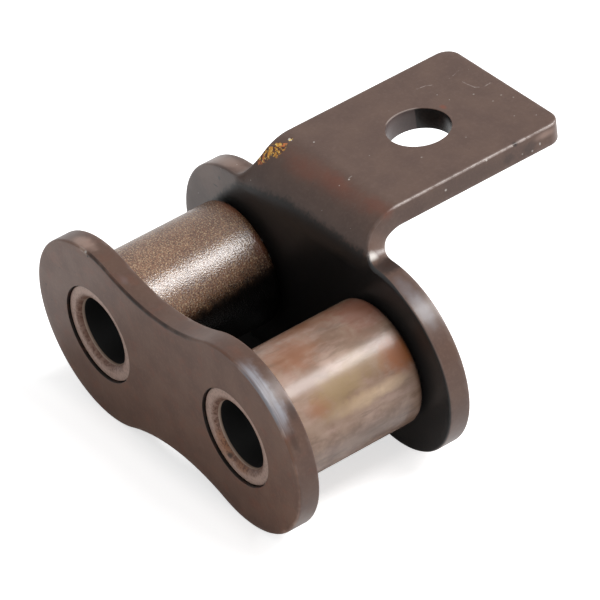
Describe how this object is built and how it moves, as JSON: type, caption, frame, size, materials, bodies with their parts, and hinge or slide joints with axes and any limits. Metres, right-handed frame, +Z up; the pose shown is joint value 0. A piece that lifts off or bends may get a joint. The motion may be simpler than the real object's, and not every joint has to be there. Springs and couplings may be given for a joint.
{
  "type": "attachment chain link",
  "caption": "Roller link for a single-strand chain: waisted side plates, bushes, free rollers and a bent tab with a fixing hole.",
  "frame": {"origin": "under the middle of the link's box, on the surface that its plates stand on", "axes": "+X along the chain from the left bush to the right one, +Y across the chain from the plain plate to the tab, +Z up"},
  "size_m": [0.036, 0.0358, 0.02],
  "materials": {
    "plate_steel": "brown oxide, satin, worn and lightly rusted at its edges",
    "bush_steel": "bare hardened steel with a brown tint",
    "roller_steel": "bronze-brown hardened steel, semi-gloss"
  },
  "bodies": {
    "link": {"plain_link_plate": "plate_steel", "attachment_link_plate": "plate_steel", "left_bushing": "bush_steel", "right_bushing": "bush_steel"},
    "left_roller": {"left_roller": "roller_steel"},
    "right_roller": {"right_roller": "roller_steel"}
  },
  "joints": [
    {"name": "left_roller_turn", "type": "hinge", "parent": "link", "child": "left_roller", "pos_m": [-0.00953, -0.0095, 0.00845], "axis": [0, 1, 0], "continuous": true},
    {"name": "right_roller_turn", "type": "hinge", "parent": "link", "child": "right_roller", "pos_m": [0.00953, -0.0095, 0.00845], "axis": [0, 1, 0], "continuous": true}
  ]
}
